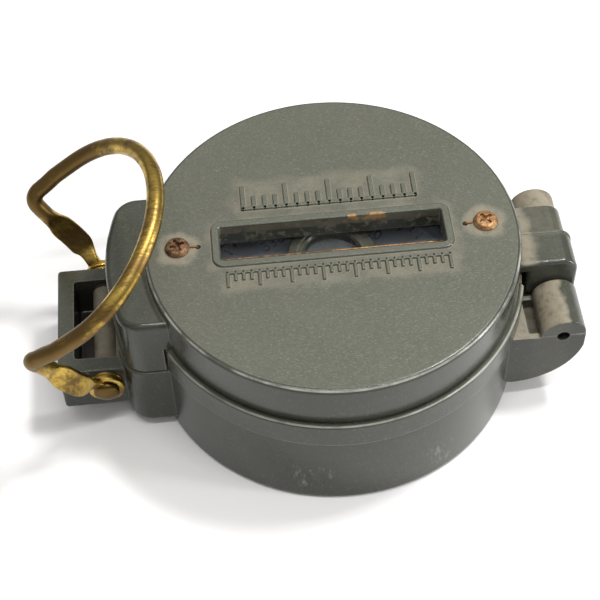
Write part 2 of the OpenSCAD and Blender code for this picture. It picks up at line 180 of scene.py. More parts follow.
def inset(outline, amount):
    """The outline moved inwards along its own normals; it runs anticlockwise."""
    moved = []
    count = len(outline)
    for i in range(count):
        ax, ay = outline[i - 1]
        bx, by = outline[i]
        cx, cy = outline[(i + 1) % count]
        e1 = Vector((bx - ax, by - ay)).normalized()
        e2 = Vector((cx - bx, cy - by)).normalized()
        normal = Vector((-e1.y - e2.y, e1.x + e2.x))
        if normal.length < TINY:
            normal = Vector((-e1.y, e1.x))
        normal.normalize()
        stretch = 1 / max(0.5, normal.dot(Vector((-e1.y, e1.x))))
        moved.append((bx + normal.x * amount * stretch, by + normal.y * amount * stretch))
    return moved


def scene_object(name, data):
    obj = bpy.data.objects.new(name, data)
    bpy.context.scene.collection.objects.link(obj)
    return obj


def mesh_object(verts, faces):
    """A Blender object from points in millimetres."""
    mesh = bpy.data.meshes.new("part")
    mesh.from_pydata([Vector(v) * MM for v in verts], [], faces)
    obj = scene_object("part", mesh)
    bm = bmesh.new()
    bm.from_mesh(mesh)
    bmesh.ops.remove_doubles(bm, verts=bm.verts, dist=1e-7)
    bmesh.ops.recalc_face_normals(bm, faces=bm.faces)
    bm.to_mesh(mesh)
    bm.free()
    return obj


def loft(rings):
    """A closed solid through rings of points, with flat ends."""
    count = len(rings[0])
    verts = [p for ring in rings for p in ring]
    faces = []
    last = len(verts) - count
    for first in range(0, last, count):
        for i in range(count):
            j = (i + 1) % count
            faces.append((first + i, first + j, first + count + j, first + count + i))
    faces.append(tuple(reversed(range(count))))
    faces.append(tuple(range(last, last + count)))
    return mesh_object(verts, faces)


def edge_steps(radius, steps=4):
    """Inset and drop of a quarter-round edge, from the side to the top. One step if it is sharp."""
    turns = [pi / 2 * i / steps for i in range(steps + 1)] if radius else [0]
    return [(radius * (1 - cos(t)), radius * (1 - sin(t))) for t in turns]


def as_drawn(u, v, w):
    return u, v, w


def prism(outline, low, high, round_low=0.0, round_high=0.0, place=as_drawn):
    """An outline raised from low to high with rounded edges. place maps (u, v, w) to x, y, z."""
    levels = [(shrink, low + drop) for shrink, drop in reversed(edge_steps(round_low))]
    levels += [(shrink, high - drop) for shrink, drop in edge_steps(round_high)]
    rings = [[place(u, v, w) for u, v in (inset(outline, s) if s else outline)] for s, w in levels]
    return loft(rings)


def along_y(u, v, w):
    """Places an outline drawn in x and z so that it is raised along Y."""
    return u, w, v


def revolve(profile, steps=160, place=as_drawn):
    """A profile of (radius, height) turned round the Z axis. It closes on itself if it stays off
    the axis, and otherwise starts and ends on it."""
    on_axis = profile[0][0] < TINY and profile[-1][0] < TINY
    verts = []
    index = []
    for r, z in profile:
        if r < TINY:
            index.append([len(verts)] * steps)
            verts.append(place(0, 0, z))
            continue
        index.append(list(range(len(verts), len(verts) + steps)))
        verts += [place(x, y, z) for x, y in circle(0, 0, r, steps)]
    faces = []
    for k in range(len(profile) - on_axis):
        lower, upper = index[k], index[(k + 1) % len(profile)]
        for i in range(steps):
            j = (i + 1) % steps
            unique = list(dict.fromkeys((lower[i], lower[j], upper[j], upper[i])))
            if len(unique) > 2:
                faces.append(tuple(unique))
    return mesh_object(verts, faces)


def ring_section(inner, outer, low, high, chamfer, rounding):
    """Cross-section of a flat ring with a chamfered hole and a round outside."""
    section = [(inner, low + chamfer), (inner + chamfer, low)]
    section += arc(outer - rounding, low + rounding, rounding, -90, 0, 4)
    section += arc(outer - rounding, high - rounding, rounding, 0, 90, 4)
    return section + [(inner + chamfer, high), (inner, high - chamfer)]


def rod_y(x, z, r, y0, y1, round_edge=0.0, steps=64):
    return prism(circle(x, z, r, steps), y0, y1, round_edge, round_edge, along_y)


def join(parts):
    """Several objects made into one, shells kept as they are."""
    bm = bmesh.new()
    for part in parts:
        bm.from_mesh(part.data)
        bpy.data.objects.remove(part)
    mesh = bpy.data.meshes.new("part")
    bm.to_mesh(mesh)
    bm.free()
    return scene_object("part", mesh)


def baked(obj):
    """A new mesh of the object as its modifiers or its text make it."""
    return bpy.data.meshes.new_from_object(obj.evaluated_get(bpy.context.evaluated_depsgraph_get()))


def cut(target, tool, operation="DIFFERENCE"):
    """Exact boolean of two solids; the tool is used up."""
    modifier = target.modifiers.new("cut", "BOOLEAN")
    modifier.operation = operation
    modifier.solver = "EXACT"
    modifier.object = tool
    result = baked(target)
    target.modifiers.clear()
    old = target.data
    target.data = result
    bpy.data.meshes.remove(old)
    bpy.data.objects.remove(tool)
    return target


def add(target, tool):
    return cut(target, tool, "UNION")


def bore(target, x, z, r):
    """A round hole along Y, right through."""
    return cut(target, rod_y(x, z, r, -BORE_HALF, BORE_HALF, steps=32))


def dress(mesh, material, sharp):
    """Gives a mesh its material and smooths all but the edges above an angle in degrees."""
    mesh.materials.clear()
    mesh.materials.append(material)
    for polygon in mesh.polygons:
        polygon.use_smooth = True
        polygon.material_index = 0
    mesh.set_sharp_from_angle(angle=radians(sharp))


def piece(obj, name, body, finish, replaces=(), sharp=35):
    """Names a finished object, dresses it and ties it to its CAD body."""
    material, slot = FINISHES[finish]
    obj.name = obj.data.name = name
    dress(obj.data, material, sharp)
    weighted = obj.modifiers.new("weighted", "WEIGHTED_NORMAL")
    weighted.keep_sharp = True
    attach(obj, body)
    if replaces:
        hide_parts(*replaces)


# ---- Node helpers for materials ----


class Shade:
    """Short names for building one material's nodes. Places and distances are in millimetres."""

    def __init__(self, name):
        self.material = bpy.data.materials.new(name)
        self.material.use_nodes = True
        self.tree = self.material.node_tree
        self.shader = self.tree.nodes["Principled BSDF"]
        in_mm = self.node("ShaderNodeVectorMath", operation="SCALE")
        self.link(self.node("ShaderNodeTexCoord").outputs["Object"], in_mm.inputs[0])
        in_mm.inputs["Scale"].default_value = 1 / MM
        self.place = in_mm.outputs[0]
        parts = self.node("ShaderNodeSeparateXYZ")
        self.link(self.place, parts.inputs[0])
        self.x, self.y, self.z = parts.outputs

    def node(self, kind, **settings):
        made = self.tree.nodes.new(kind)
        for key, value in settings.items():
            setattr(made, key, value)
        return made

    def link(self, source, target):
        if isinstance(source, (int, float)):
            target.default_value = source
        elif isinstance(source, tuple):
            target.default_value = source if len(source) == len(target.default_value) else (*source, 1)
        else:
            self.tree.links.new(source, target)

    def feed(self, node, inputs):
        """Links or sets a node's inputs, each given by its name or number."""
        for key, value in inputs.items():
            self.link(value, node.inputs[key])

    def math(self, operation, a, b=0.0):
        made = self.node("ShaderNodeMath", operation=operation)
        self.feed(made, {0: a, 1: b})
        return made.outputs[0]

    def times(self, *values):
        result = values[0]
        for value in values[1:]:
            result = self.math("MULTIPLY", result, value)
        return result

    def plus(self, a, b):
        return self.math("ADD", a, b)

    def minus(self, a, b):
        return self.math("SUBTRACT", a, b)

    def apart(self, value, place):
        """Distance of a coordinate from a place, both ways."""
        return self.math("ABSOLUTE", self.minus(value, place))

    def fade(self, value, start, end):
        """0 at start, 1 at end, smooth between; start may be above end."""
        made = self.node("ShaderNodeMapRange", interpolation_type="SMOOTHSTEP")
        self.feed(made, {"Value": value, "From Min": start, "From Max": end})
        return made.outputs[0]

    def noise(self, scale, detail=3.0, rough=0.55, stretch=None, distortion=0.0):
        """Noise in 0 to 1; scale is cells per millimetre, and stretch scales and turns their space."""
        made = self.node("ShaderNodeTexNoise")
        source = self.place
        if stretch:
            mapped = self.node("ShaderNodeMapping")
            self.feed(mapped, {"Vector": source, "Scale": stretch[0], "Rotation": stretch[1]})
            source = mapped.outputs[0]
        self.feed(made, {"Vector": source, "Scale": scale, "Detail": detail, "Roughness": rough,
                         "Distortion": distortion})
        return made.outputs[0]

    def wander(self, scale, detail, reach):
        """A slow random shift that makes an outline ragged."""
        return self.times(self.minus(self.noise(scale, detail, 0.6), 0.5), reach)

    def patches(self, x, y, zones, wander, start, end):
        """Ragged patches over rectangles given as (middle x, middle y, half x, half y)."""
        return self.most(*(self.fade(self.plus(self.box_distance(x, y, *zone), wander), start, end)
                           for zone in zones))

    def mix(self, factor, a, b):
        made = self.node("ShaderNodeMix", data_type="RGBA")
        self.feed(made, {0: factor, 6: a, 7: b})
        return made.outputs[2]

    def blend(self, factor, a, b):
        made = self.node("ShaderNodeMix", data_type="FLOAT")
        self.feed(made, {0: factor, 2: a, 3: b})
        return made.outputs[0]

    def most(self, *values):
        result = values[0]
        for value in values[1:]:
            result = self.math("MAXIMUM", result, value)
        return result

    def box_distance(self, x, y, cx, cy, hx, hy):
        """Distance in the plane from a rectangle, zero inside it."""
        dx = self.math("MAXIMUM", self.minus(self.apart(x, cx), hx), 0.0)
        dy = self.math("MAXIMUM", self.minus(self.apart(y, cy), hy), 0.0)
        return self.length(dx, dy)

    def length(self, a, b):
        return self.math("SQRT", self.plus(self.times(a, a), self.times(b, b)))

    def normal(self):
        return self.node("ShaderNodeNewGeometry").outputs["Normal"]

    def facing_up(self):
        parts = self.node("ShaderNodeSeparateXYZ")
        self.link(self.normal(), parts.inputs[0])
        return parts.outputs[2]

    def crevice(self, reach):
        made = self.node("ShaderNodeAmbientOcclusion", samples=8)
        made.inputs["Distance"].default_value = reach * MM
        return self.minus(1.0, made.outputs["AO"])

    def convex_edge(self, radius):
        """Strong on convex edges: compares the surface normal with a rounded one."""
        bevel = self.node("ShaderNodeBevel", samples=4)
        bevel.inputs["Radius"].default_value = radius * MM
        dot = self.node("ShaderNodeVectorMath", operation="DOT_PRODUCT")
        self.feed(dot, {0: bevel.outputs[0], 1: self.normal()})
        return self.minus(1.0, dot.outputs["Value"])

    def bump(self, height, strength, distance):
        made = self.node("ShaderNodeBump")
        self.feed(made, {"Strength": strength, "Distance": distance * MM, "Height": height})
        self.link(made.outputs[0], self.shader.inputs["Normal"])

    def set(self, **values):
        names = {"color": "Base Color", "metallic": "Metallic", "roughness": "Roughness", "ior": "IOR",
                 "specular": "Specular IOR Level", "transmission": "Transmission Weight", "alpha": "Alpha"}
        for key, value in values.items():
            self.link(value, self.shader.inputs[names[key]])


# ---- Materials ----

OLIVE = (0.036, 0.039, 0.030)
OLIVE_LIGHT = (0.046, 0.049, 0.038)
# a pale dusty film colour, also laid on convex edges as a painted highlight
DUST_FILM_AND_HIGHLIGHT = (0.152, 0.154, 0.116)
DUST = (0.26, 0.225, 0.16)
# near black, for painted shade in the hinge pin's hole and deep in the eyepiece's frame
PAINTED_SHADE = (0.008, 0.007, 0.006)
RUST_DUST = (0.36, 0.20, 0.075)
SCRATCH = (0.30, 0.30, 0.26)
# pale: painted highlights on the lid's edge and along the band, and real scuffs low on the case
PALE_WEAR_AND_HIGHLIGHT = (0.40, 0.40, 0.35)


def toned(color, factor):
    return tuple(c * factor for c in color)


def olive_plastic(name, dust_mask, film_mask, tone=1.0, overlays=()):
    """Moulded grey-green plastic: pebbled grain, short bright scuffs, a dusty film, packed dust and a
    painted highlight on convex edges.
    The last argument lists (mask, colour) pairs laid over the rest: real stains, painted highlights and
    painted shade."""
    s = Shade(name)
    dust = dust_mask(s)
    film = film_mask(s)
    cloud = s.noise(0.09, 4, 0.6)
    grain = s.noise(3.0, 4, 0.65)
    speck = s.noise(2.6, 2, 0.5, ((1, 3.2, 1), (0, 0, radians(62))))
    hair = s.noise(1.1, 2, 0.5, ((1, 12, 1), (0, 0, radians(50))))
    scuffs = s.most(s.fade(speck, 0.60, 0.70), s.fade(hair, 0.62, 0.72))
    # a painted highlight along convex edges, in the film's colour
    edge = s.fade(s.convex_edge(0.4), 0.015, 0.12)
    base = s.mix(s.fade(cloud, 0.35, 0.7), toned(OLIVE, tone), toned(OLIVE_LIGHT, tone))
    base = s.mix(s.times(edge, 0.6), base, DUST_FILM_AND_HIGHLIGHT)
    streaky = s.times(film, s.blend(s.fade(grain, 0.35, 0.65), 0.43, 0.56))
    base = s.mix(streaky, base, DUST_FILM_AND_HIGHLIGHT)
    base = s.mix(s.times(scuffs, s.blend(film, 0.06, 0.37)), base, SCRATCH)
    patchy = s.times(dust, s.fade(s.noise(0.7, 5, 0.65), 0.12, 0.60))
    base = s.mix(patchy, base, DUST)
    for mask, color in overlays:
        base = s.mix(mask(s), base, color)
    clean = s.blend(s.fade(cloud, 0.3, 0.7), 0.14, 0.24)
    rough = s.blend(patchy, s.blend(film, clean, 0.40), 0.85)
    height = s.plus(grain, s.times(s.noise(0.5, 2), 0.8))
    s.bump(s.plus(height, s.times(scuffs, 0.35)), s.blend(film, 0.10, 0.26), 0.10)
    s.set(color=base, roughness=rough, specular=0.36)
    return s.material


def lid_film(s):
    """The thin dusty film lies on the lid's disc, and only faintly on its hood."""
    up = s.fade(s.facing_up(), 0.955, 0.995)
    disc = s.fade(s.z, LID_TOP - 1.3, LID_TOP - 0.2)
    return s.times(up, s.blend(disc, 0.30, 0.85))


def case_film(s):
    """A thin film on what faces up, and a thinner one on the band."""
    up = s.times(s.fade(s.facing_up(), 0.2, 0.95), 0.35)
    band = s.times(s.fade(s.z, BAND_LOW - 0.05, BAND_LOW + 0.1), 0.13)
    return s.most(up, band)


def lid_edge_highlight(s):
    """A painted highlight: a pale line round the lid's top edge."""
    line = s.fade(s.apart(s.z, LID_TOP - 0.22), 0.16, 0.05)
    rim = s.fade(s.length(s.x, s.y), LID_R - 1.5, LID_R - 1.3)
    return s.times(line, rim, s.blend(s.fade(s.noise(0.25, 4, 0.6), 0.35, 0.65), 0.1, 0.7))


def band_edge_highlights(s):
    """Painted highlights: pale lines along the top of the band's bead and along its lower edge."""
    patchy = s.fade(s.noise(0.2, 3), 0.3, 0.6)
    bead = s.times(s.fade(s.z, RIM_TOP - 0.14, RIM_TOP - 0.05), s.blend(patchy, 0.14, 0.55),
                   s.fade(s.length(s.x, s.y), BAND_R - 0.5, BAND_R - 0.3))
    low = s.times(s.fade(s.apart(s.z, BAND_LOW + 0.05), 0.18, 0.08), patchy, 0.35)
    return s.most(bead, low)


def case_scuff(s):
    """Two pale scuffs low on the case's near side, made of fine slanted scratches."""
    spots = s.patches(s.x, s.z, ((-5.5, 5.4, 2.2, 1.8), (12.5, 4.8, 0.9, 1.8)), s.wander(0.5, 4, 3.0),
                      1.6, -0.4)
    scratches = s.fade(s.noise(1.1, 5, 0.7, ((1, 1, 0.35), (0, 0.6, 0))), 0.5, 0.68)
    near_side = s.fade(s.y, -15, -20)
    return s.times(spots, scratches, near_side, 0.28)


def slot_rust(s):
    """Two rusty crumbs on the far wall of the sight slot."""
    wall = SLOT_W / 2
    crumbs = [(x, LID_TOP - 0.1, half, 0.3) for x, half in ((6.2, 0.9), (3.2, 0.1))]
    spots = s.patches(s.x, s.z, crumbs, s.wander(1.1, 4, 5.0), 0.7, 0.1)
    return s.times(spots, s.fade(s.y, wall - 0.2, wall), s.fade(s.y, wall + 0.6, wall + 0.3), 0.7)


def case_painted_shade(s):
    """Painted shade: near black in the ends of the hinge pin's hole and deep in the eyepiece's frame."""
    hole = s.fade(s.length(s.minus(s.x, HINGE_X), s.minus(s.z, HINGE_Z)), 1.05, 0.88)
    half_x = (FRAME_OUT - TAB_R) / 2
    away = s.box_distance(s.x, s.y, -TAB_R - half_x, 0, half_x - FRAME_WALL, FRAME_HALF - FRAME_WALL)
    pocket = s.times(s.fade(away, 0.5, 0.1), s.fade(s.z, FRAME_TOP - 0.3, FRAME_TOP - 3.5))
    return s.most(hole, s.times(pocket, 0.85))


def lid_dust(s):
    """Dust on the lid: round the slot, the relief marks and the screws, in the slot and the
    corners, and on the hinge leaf."""
    on_top = s.times(s.fade(s.z, LID_TOP + 0.12, LID_TOP + 0.05), s.fade(s.z, LID_TOP - 1.5, LID_TOP - 1.0))
    wander = s.wander(0.35, 5, 5.5)
    near_slot = s.patches(s.x, s.y, [(0, 0, SLOT_LEN / 2 + 0.9, SLOT_W / 2 + 0.9)], wander, 1.5, -0.5)
    near_marks = s.patches(s.x, s.y, ((-0.2, 8.4, 12.9, 2.4), (0.4, -6.5, 16.2, 1.4)), wander, 1.5, -0.8)
    from_screw = s.length(s.minus(s.math("ABSOLUTE", s.x), SCREW_X), s.y)
    halo = s.fade(s.plus(from_screw, s.times(wander, 0.6)), 3.5, 2.4)
    marks = s.times(s.most(s.times(s.most(near_slot, near_marks), 0.36), s.times(halo, 0.6)), on_top)
    tight = s.times(s.fade(s.crevice(0.6), 0.12, 0.45), on_top)
    from_slot = s.box_distance(s.x, s.y, 0, 0, SLOT_LEN / 2 + 0.3, SLOT_W / 2 + 0.3)
    overlays = s.times(s.fade(s.z, LID_TOP + 0.1, LID_TOP - 0.3), s.fade(from_slot, 0.4, 0.0),
                     s.times(s.fade(s.noise(0.9, 5, 0.65), 0.48, 0.66), 0.55))
    crease = s.times(s.fade(s.crevice(1.2), 0.3, 0.6), s.fade(s.z, 25.0, 24.7),
                     s.fade(s.z, LID_LOW + 0.6, LID_LOW + 1.6), s.fade(s.x, -20, -24))
    near_disc = s.fade(s.plus(s.x, s.times(s.noise(0.3, 3), 3.0)), 31.4, 29.4)
    low_half = s.fade(s.y, 0.2, 1.2)
    leaf = s.times(s.fade(s.x, LID_R - 0.4, LID_R + 0.6), s.fade(s.facing_up(), 0.2, 0.9),
                   s.most(near_disc, s.times(low_half, 0.2)))
    return s.most(marks, s.times(tight, 0.75), overlays, s.times(crease, 0.6), s.times(leaf, 0.75))


def case_dust(s):
    """Dust on the case: on the hinge knuckles, in the corners, along the ledges by the hinge."""
    worn = s.fade(s.plus(s.x, s.times(s.noise(0.25, 3), 4.0)), 34.8, 33.8)
    worn = s.most(worn, s.fade(s.y, 4, 6))
    knuckles = s.times(s.fade(s.x, 26.5, 28.5), worn, s.fade(s.facing_up(), -0.1, 0.5))
    ends = s.most(s.fade(s.x, 24, 26), s.times(s.fade(s.x, -22, -24), 0.6))
    corners = s.times(s.fade(s.crevice(1.5), 0.3, 0.7), ends)
    ledges = s.times(s.fade(s.x, 22.5, 23.5), s.fade(s.facing_up(), 0.5, 0.9),
                     s.fade(s.z, BAND_LOW + 0.1, BAND_LOW), s.blend(s.fade(s.z, 14.4, 14.2), 1.0, 0.5))
    return s.most(s.times(knuckles, 0.85), s.times(corners, 0.6), s.times(ledges, 0.8))


def inner_dust(s):
    """A little dust in the corners, more on the eyepiece's barrel."""
    barrel = s.times(s.fade(s.x, -30.5, -31.5), s.fade(s.facing_up(), -0.3, 0.6))
    return s.most(s.times(s.fade(s.crevice(1.0), 0.3, 0.7), 0.3), s.times(barrel, 0.5))


def brass_material():
    """Drawn brass: golden where rubbed, brown and purple tarnish elsewhere."""
    s = Shade("brass_tarnished")
    cloud = s.noise(0.16, 4, 0.6, distortion=0.6)
    streak = s.noise(0.9, 3, 0.6, ((1, 4, 1), (0.3, 0.2, 0.5)))
    patches = s.plus(s.times(cloud, 0.75), s.times(streak, 0.25))
    # the loop is browner near its bends, tarnish with painted shade, and more golden at its round end, where
    # it is held, wear with a painted highlight
    on_loop = s.fade(s.z, KINK.z - 3, KINK.z)
    held_and_highlit = s.times(s.fade(s.x, -32, -26), -0.05)
    # more tarnish towards the bends, with painted shade
    brown = s.times(s.fade(s.x, -31, -36), 0.12)
    worn = s.times(on_loop, s.plus(held_and_highlit, brown))
    tarnish = s.fade(s.plus(patches, worn), 0.38, 0.58)
    gold = s.mix(s.noise(0.5, 3), (0.68, 0.48, 0.12), (0.44, 0.29, 0.06))
    dark = s.mix(s.noise(0.35, 3), (0.12, 0.07, 0.022), (0.10, 0.058, 0.032))
    base = s.mix(s.times(tarnish, 0.88), gold, dark)
    s.set(color=base, metallic=1.0, roughness=s.blend(tarnish, 0.26, 0.44))
    s.bump(s.plus(s.noise(2.5, 3), streak), 0.25, 0.04)
    return s.material


def copper_material():
    """Old coppered steel: brown rust with brighter rubbed spots, all brighter and more orange on the hinge
    side.
    """
    s = Shade("copper_rusty")
    rust = s.noise(1.6, 4, 0.65)
    hinge_side = s.fade(s.x, -2, 2)
    bright = s.mix(hinge_side, (0.24, 0.13, 0.065), (0.42, 0.25, 0.12))
    brown = s.mix(hinge_side, (0.065, 0.035, 0.02), (0.20, 0.095, 0.035))
    base = s.mix(s.fade(rust, 0.35, 0.65), bright, brown)
    s.set(color=base, metallic=0.7, roughness=s.blend(rust, 0.35, 0.75))
    s.bump(s.noise(5.0, 4, 0.7), 0.6, 0.08)
    return s.material


def steel_material(name, color, roughness):
    s = Shade(name)
    fine = s.noise(2.0, 3, 0.6, ((1, 1, 9), (0, 0, 0)))
    base = s.mix(fine, color, toned(color, 0.75))
    s.set(color=base, metallic=0.95, roughness=s.blend(fine, roughness, roughness + 0.15))
    s.bump(fine, 0.15, 0.02)
    return s.material


def glass_material(name, tint, roughness=0.02):
    s = Shade(name)
    s.set(color=tint, roughness=s.blend(s.fade(s.noise(0.3, 3), 0.5, 0.75), roughness, roughness + 0.08),
          ior=1.5, transmission=0.94)
    s.bump(s.noise(0.25, 2), 0.05, 0.02)
    return s.material


def pane_material(name, haze, tint):
    """A flat window that light passes straight through, with a scratched bluish haze."""
    s = Shade(name)
    smear = s.fade(s.noise(0.12, 4, 0.6), 0.3, 0.7)
    hair = s.fade(s.noise(0.7, 2, 0.5, ((1, 14, 1), (0, 0, radians(20)))), 0.64, 0.72)
    cover = s.plus(s.blend(smear, haze * 0.5, haze * 1.6), s.times(hair, haze * 0.8))
    s.set(color=tint, roughness=s.blend(smear, 0.04, 0.16), ior=2.2, alpha=cover)
    return s.material


def plain_material(name, color, roughness):
    """A non-metal with slight colour and gloss variation."""
    s = Shade(name)
    variation = 0.12
    cloud = s.noise(0.4, 3)
    base = s.mix(cloud, toned(color, 1 + variation), toned(color, 1 - variation))
    s.set(color=base, roughness=s.blend(cloud, roughness, min(1.0, roughness + 0.12)))
    s.bump(s.noise(2.5, 3), 0.2, 0.03)
    return s.material


# besides real stains, the lid's and the case's overlays hold painted highlights and painted shade
# finish: (material, slot)
FINISHES = {
    "lid": (olive_plastic("olive_lid", lid_dust, lid_film, 1.0, [(slot_rust, RUST_DUST), (lid_edge_highlight, PALE_WEAR_AND_HIGHLIGHT)]),
            "olive_plastic"),
    "case": (olive_plastic("olive_case", case_dust, case_film, 0.72,
                           [(band_edge_highlights, PALE_WEAR_AND_HIGHLIGHT), (case_painted_shade, PAINTED_SHADE), (case_scuff, PALE_WEAR_AND_HIGHLIGHT)]), "olive_plastic"),
    "dark": (olive_plastic("olive_dark", inner_dust, case_film, 0.55), "dark_plastic"),
    "brass": (brass_material(), "brass"),
    "rivet": (steel_material("brass_brown", (0.13, 0.078, 0.022), 0.24), "brass"),
    "copper": (copper_material(), "aged_copper"),
    "steel": (steel_material("steel_plain", (0.50, 0.51, 0.52), 0.32), "steel"),
    "aluminium": (steel_material("aluminium_turned", (0.62, 0.63, 0.65), 0.28), "aluminium"),
    "magnet": (steel_material("magnet_grey", (0.22, 0.23, 0.24), 0.5), "magnet"),
    "rubber": (plain_material("rubber_black", (0.025, 0.025, 0.026), 0.7), "rubber"),
    "crystal": (pane_material("glass_hazy", 0.17, (0.80, 0.88, 0.98)), "clear_glass"),
    "glass": (pane_material("glass_clear", 0.03, (0.75, 0.85, 1.0)), "clear_glass"),
    "lens": (glass_material("glass_lens", (0.92, 0.95, 0.97)), "clear_glass"),
    "dial": (plain_material("dial_white", (0.72, 0.76, 0.80), 0.5), "dial_white"),
    "mark": (plain_material("mark_black", (0.02, 0.02, 0.02), 0.5), "black_mark"),
    "glow": (plain_material("luminous_green", (0.56, 0.70, 0.44), 0.6), "luminous"),
    "jewel": (glass_material("jewel_red", (0.62, 0.05, 0.10)), "jewel"),
}

# ---- Lid ----


def tab_outline(r_out, half, corner, inner_x=-20):
    """Outline of the tab: its outer edge follows the case's curve and its corners are round."""
    centre_r = r_out - corner
    centre_y = half - corner
    centre_x = -sqrt(centre_r ** 2 - centre_y ** 2)
    swing = degrees(asin(centre_y / centre_r))
    points = [(inner_x, half)]
    points += arc(centre_x, centre_y, corner, 90, 180 - swing, 10)
    points += arc(0, 0, r_out, 180 - swing + 1.5, 180 + swing - 1.5, 24)
    points += arc(centre_x, -centre_y, corner, 180 + swing, 270, 10)
    points += [(inner_x, -half)]
    return points


def pillar(r, z0, z1, steps=160):
    return prism(circle(0, 0, r, steps), z0, z1)


def block(low, high, edge=0.0):
    """A box with rounded upright edges and, if asked, rounded ends."""
    (x0, y0, z0), (x1, y1, z1) = low, high
    centre = ((x0 + x1) / 2, (y0 + y1) / 2)
    corner = max(1.6 * edge, 0.02)
    outline = rounded_rect(x1 - x0, y1 - y0, corner, 3, centre)
    return prism(outline, z0, z1, edge, edge)


def lid_disc():
    inner = LID_R - LID_WALL
    under = LID_TOP - LID_PLATE
    fillet = 0.5
    profile = [(0, LID_TOP)]
    profile += arc(LID_R - LID_ROUND, LID_TOP - LID_ROUND, LID_ROUND, 90, 0, 7)
    profile += arc(LID_R - 0.15, LID_LOW + 0.15, 0.15, 0, -90, 3)
    profile += [(inner, LID_LOW)]
    profile += arc(inner - fillet, under - fillet, fillet, 0, 90, 4)
    profile += [(0, under)]
    return revolve(profile, 224)


def lid_hood():
    outer = prism(tab_outline(TAB_R, TAB_HALF, TAB_CORNER), SEAM_Z + 0.3, HOOD_TOP, 0.15, 1.0)
    inner = tab_outline(TAB_R - TAB_WALL, TAB_HALF - TAB_WALL, TAB_CORNER - TAB_WALL, -15)
    cut(outer, prism(inner, 5, HOOD_TOP - HOOD_PLATE))
    cut(outer, pillar(BAND_R, 5, LID_LOW))
    return cut(outer, pillar(LID_R - LID_WALL / 2, 5, 30))


def leaf_part(y0, y1, top, edges):
    """One width of the hinge leaf, from its outline seen along the hinge."""
    right = HINGE_X + KNUCKLE_R - LEAF_RIDGE - (LEAF_TOP - top) / 2
    outline = [(BAND_R, HINGE_Z)]
    outline += arc(HINGE_X, HINGE_Z, right - HINGE_X, 180, 360, 28)
    outline += arc(right - LEAF_ROUND, top - LEAF_ROUND, LEAF_ROUND, 0, 90, 8)
    outline += [(LID_R - 0.7, top), (LID_R - 0.7, RIM_TOP + 0.35), (BAND_R, RIM_TOP + 0.35)]
    return prism(outline, y0, y1, *edges, along_y)


def leaf_ridge():
    """Low ridge over the leaf's top and outer side, where its two widths meet."""
    right = HINGE_X + KNUCKLE_R
    top = LEAF_TOP + LEAF_RIDGE
    outline = [(HINGE_X, HINGE_Z)]
    outline += arc(HINGE_X, HINGE_Z, KNUCKLE_R, 300, 360, 8)
    outline += arc(right - LEAF_ROUND, top - LEAF_ROUND, LEAF_ROUND, 0, 90, 8)
    outline += [(LID_R - 0.2, top), (LID_R - 0.2, top - 1)]
    return prism(outline, LEAF_SPLIT - 0.3, LEAF_SPLIT + 0.1, 0.08, 0.08, along_y)


def lid_leaf():
    leaf = leaf_part(LEAF_Y[0], LEAF_SPLIT, LEAF_TOP, (0.6, 0.2))
    add(leaf, leaf_part(LEAF_SPLIT - 0.5, LEAF_Y[1], LEAF_TOP - LEAF_STEP, (0.3, 0.35)))
    return add(leaf, leaf_ridge())


def relief_marks():
    """Raised scale marks above and below the slot, in place of any lettering."""
    low = LID_TOP - 0.3
    high = LID_TOP + 0.32
    parts = []

    def bar(x, y, length, width):
        outline = rounded_rect(length, width, min(length, width) * 0.3, 3, (x, y))
        parts.append(prism(outline, low, high, 0, 0.14))

    for x, y, half, count, tall, short, base_w, bar_w, up in SCALES:
        bar(x, y + up * base_w / 2, 2 * half + bar_w, base_w)
        for i in range(count + 1):
            height = tall if i % 4 == 0 else short
            bar(x - half + 2 * half * i / count, y + up * height / 2, bar_w, height)
    return parts


def slot_frame():
    """Raised frame round the slot, with a rounded outer edge."""
    outline = rounded_rect(SLOT_LEN + 2 * SLOT_FRAME_W, SLOT_W + 2 * SLOT_FRAME_W, 1.6, 8)
    return prism(outline, LID_TOP - 0.4, LID_TOP + SLOT_RIDGE, 0, 0.25)


def slot_cutter():
    """The slot itself, widening a little at its top edge."""
    outline = rounded_rect(SLOT_LEN, SLOT_W, 0.35, 4)
    flare = 0.25
    top = LID_TOP + SLOT_RIDGE
    levels = [(0, LID_TOP - SLOT_DEPTH - 1), (0, top - flare)]
    levels += [(-flare * (1 - cos(t)), top - flare + flare * sin(t)) for t in (0.4, 0.8, 1.2, pi / 2)]
    levels += [(-flare, top + 1)]
    return loft([[(u, v, w) for u, v in inset(outline, s)] for s, w in levels])


def build_lid():
    under = LID_TOP - LID_PLATE
    boss_r = 2.6
    screw_hole_r = 0.95
    wire_hole_r = 0.4
    lid = lid_disc()
    add(lid, lid_hood())
    add(lid, lid_leaf())
    add(lid, prism(rounded_rect(SLOT_LEN + 2, SLOT_W + 4, 0.8), LID_TOP - SLOT_DEPTH, under + 0.1, 0.2))
    for side in (-1, 1):
        add(lid, prism(circle(side * SCREW_X, 0, boss_r, 32), under - 1, under + 0.1, 0.2))
    add(lid, slot_frame())
    cut(lid, slot_cutter())
    cut(lid, block((-TAB_R + TAB_WALL + 0.1, -TROUGH_HALF, 5),
                   (-LID_R + LID_WALL + 3, TROUGH_HALF, HOOD_TOP - HOOD_PLATE)))
    for side in (-1, 1):
        cut(lid, prism(circle(side * SCREW_X, 0, screw_hole_r, 24), 10, THROUGH))
        cut(lid, prism(circle(side * WIRE_X, 0, wire_hole_r, 20), 10, THROUGH))
    bore(lid, HINGE_X, HINGE_Z, PIN_R + 0.05)
    lid = join([lid] + relief_marks())
    piece(lid, "lid_shell", "lid", "lid", ("lid_cover",))


